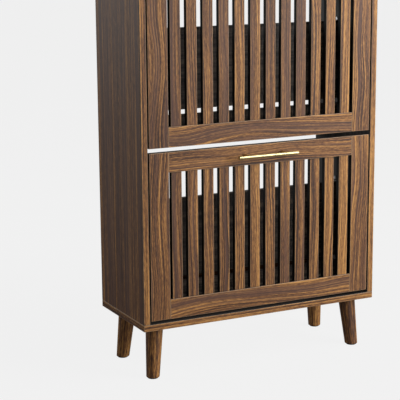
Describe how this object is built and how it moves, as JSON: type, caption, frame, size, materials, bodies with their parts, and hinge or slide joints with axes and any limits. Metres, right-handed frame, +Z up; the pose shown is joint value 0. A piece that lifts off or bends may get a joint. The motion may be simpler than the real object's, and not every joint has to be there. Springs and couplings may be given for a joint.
{
  "type": "shoe cabinet",
  "caption": "Narrow shoe cabinet with slatted flip-down doors, each carrying a tilting shoe tray, in an open-backed case on splayed round legs.",
  "frame": {"origin": "on the floor under the centre of the outline, handles included", "axes": "+X along the width, to the right seen from the front; +Y from the doors to the back; +Z up"},
  "size_m": [0.6, 0.269, 0.924],
  "materials": {
    "walnut_board": "satin foil with a straight grain",
    "walnut_panel": "satin foil, darker, upright grain",
    "walnut_frame": "satin foil with a straight grain",
    "walnut_slat": "satin foil, each slat its own tone, dark edges",
    "walnut_leg": "satin lacquer",
    "tray_board": "matt dark board",
    "tray_plastic": "fine moulded texture",
    "glide_plastic": "matt",
    "brass": "brushed, light gold",
    "steel": "zinc plated",
    "zinc": "die cast",
    "beech": "raw"
  },
  "bodies": {
    "cabinet": {"left_side_panel": "walnut_panel", "right_side_panel": "walnut_panel", "top_board": "walnut_board", "bottom_board": "walnut_board", "top_back_rail": "walnut_panel", "middle_back_rail": "walnut_panel", "bottom_back_rail": "walnut_panel", "front_left_leg": "walnut_leg", "front_right_leg": "walnut_leg", "back_left_leg": "walnut_leg", "back_right_leg": "walnut_leg", "leg_bolts": "steel", "leg_inserts": "steel", "leg_glides": "glide_plastic", "base_screws": "steel", "cam_bolts": "steel", "cam_locks": "zinc", "case_dowels": "beech", "pivot_pins": "steel", "guide_pins": "steel", "stop_pins": "steel"},
    "upper_door": {"upper_left_stile": "walnut_frame", "upper_right_stile": "walnut_frame", "upper_top_rail": "walnut_frame", "upper_bottom_rail": "walnut_frame", "upper_slats": "walnut_slat", "upper_frame_dowels": "beech", "upper_handle_bar": "brass", "upper_handle_posts": "brass", "upper_handle_screws": "steel", "upper_tray_left_side": "tray_plastic", "upper_tray_right_side": "tray_plastic", "upper_tray_floor": "tray_board", "upper_tray_back": "tray_board", "upper_tray_screws": "steel"},
    "lower_door": {"lower_left_stile": "walnut_frame", "lower_right_stile": "walnut_frame", "lower_top_rail": "walnut_frame", "lower_bottom_rail": "walnut_frame", "lower_slats": "walnut_slat", "lower_frame_dowels": "beech", "lower_handle_bar": "brass", "lower_handle_posts": "brass", "lower_handle_screws": "steel", "lower_tray_left_side": "tray_plastic", "lower_tray_right_side": "tray_plastic", "lower_tray_floor": "tray_board", "lower_tray_back": "tray_board", "lower_tray_screws": "steel"}
  },
  "joints": [
    {"name": "upper_door_tip", "type": "hinge", "parent": "cabinet", "child": "upper_door", "pos_m": [0, -0.0815, 0.587], "axis": [1, 0, 0], "range_deg": [0, 45]},
    {"name": "lower_door_tip", "type": "hinge", "parent": "cabinet", "child": "lower_door", "pos_m": [0, -0.0815, 0.202], "axis": [1, 0, 0], "range_deg": [0, 45]}
  ]
}
